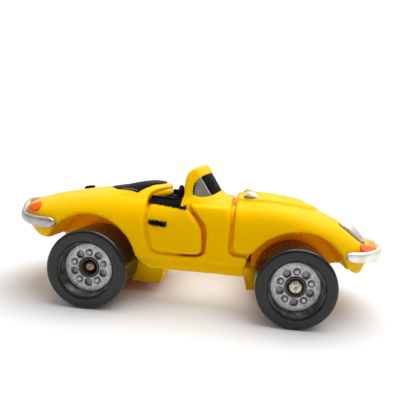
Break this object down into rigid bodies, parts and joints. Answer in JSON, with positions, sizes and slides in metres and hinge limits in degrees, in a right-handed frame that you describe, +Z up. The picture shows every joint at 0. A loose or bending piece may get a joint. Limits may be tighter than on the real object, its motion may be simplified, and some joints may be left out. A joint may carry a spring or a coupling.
{
  "type": "pull back car",
  "caption": "Small toy roadster with a pull-back spring motor geared to its rear axle and two free-rolling front wheels.",
  "frame": {"origin": "on the ground under the middle of the car", "axes": "+X forward, +Y to the car's left, +Z up"},
  "size_m": [0.0838, 0.034, 0.0297],
  "materials": {
    "yellow_plastic": "glossy moulded yellow",
    "chassis_plastic": "semi-gloss moulded yellow",
    "black_paint": "hand-laid gloss black paint",
    "black_plastic": "moulded black",
    "tyre_rubber": "smooth black rubber",
    "hub_silver": "speckled grey silver",
    "silver_trim": "silver plated, a little dull",
    "clear_lens": "clear cover over silver paint",
    "dark_glass": "dark, polished",
    "orange_lamp": "glossy orange paint",
    "steel": "drawn wire, plain",
    "gear_nylon": "natural nylon"
  },
  "bodies": {
    "car_body": {"chassis": "chassis_plastic", "tonneau_cover": "black_paint", "fuel_cap": "black_paint", "interior_tub": "black_plastic", "steering_wheel": "black_plastic", "windshield_pane": "dark_glass", "front_bumper": "silver_trim", "rear_bumper": "silver_trim", "gear_arbor": "steel", "mainspring": "steel", "body_shell": "yellow_plastic", "hood": "yellow_plastic", "door_left": "yellow_plastic", "door_right": "yellow_plastic", "windshield_frame": "yellow_plastic", "tail_lamp_left": "orange_lamp", "indicator_left": "orange_lamp", "headlight_cover_left": "clear_lens", "hood_vent_left": "silver_trim", "motor_case_left": "black_plastic", "chassis_screw_left": "steel", "tail_lamp_right": "orange_lamp", "indicator_right": "orange_lamp", "headlight_cover_right": "clear_lens", "hood_vent_right": "silver_trim", "motor_case_right": "black_plastic", "chassis_screw_right": "steel"},
    "rear_wheels": {"rear_axle": "steel", "drive_pinion": "gear_nylon", "rear_left_tyre": "tyre_rubber", "rear_left_hub": "hub_silver", "rear_left_bush": "black_plastic", "rear_right_tyre": "tyre_rubber", "rear_right_hub": "hub_silver", "rear_right_bush": "black_plastic"},
    "front_wheels": {"front_axle": "steel", "front_left_tyre": "tyre_rubber", "front_left_hub": "hub_silver", "front_left_bush": "black_plastic", "front_right_tyre": "tyre_rubber", "front_right_hub": "hub_silver", "front_right_bush": "black_plastic"},
    "reduction_gear": {"reduction_gear": "gear_nylon"},
    "spring_gear": {"spring_gear": "gear_nylon"}
  },
  "joints": [
    {"name": "rear_axle_spin", "type": "hinge", "parent": "car_body", "child": "rear_wheels", "pos_m": [-0.02055, 0, 0.0079], "axis": [0, 1, 0], "continuous": true},
    {"name": "front_axle_spin", "type": "hinge", "parent": "car_body", "child": "front_wheels", "pos_m": [0.02045, 0, 0.0079], "axis": [0, 1, 0], "continuous": true},
    {"name": "reduction_gear_spin", "type": "hinge", "parent": "car_body", "child": "reduction_gear", "pos_m": [-0.01425, 0, 0.01032], "axis": [0, 1, 0], "continuous": true},
    {"name": "spring_gear_spin", "type": "hinge", "parent": "car_body", "child": "spring_gear", "pos_m": [-0.01949, 0, 0.01457], "axis": [0, 1, 0], "continuous": true}
  ],
  "couplings": [
    {"joint": "reduction_gear_spin", "follows": "rear_axle_spin", "ratio": -0.5},
    {"joint": "spring_gear_spin", "follows": "rear_axle_spin", "ratio": 0.25}
  ]
}
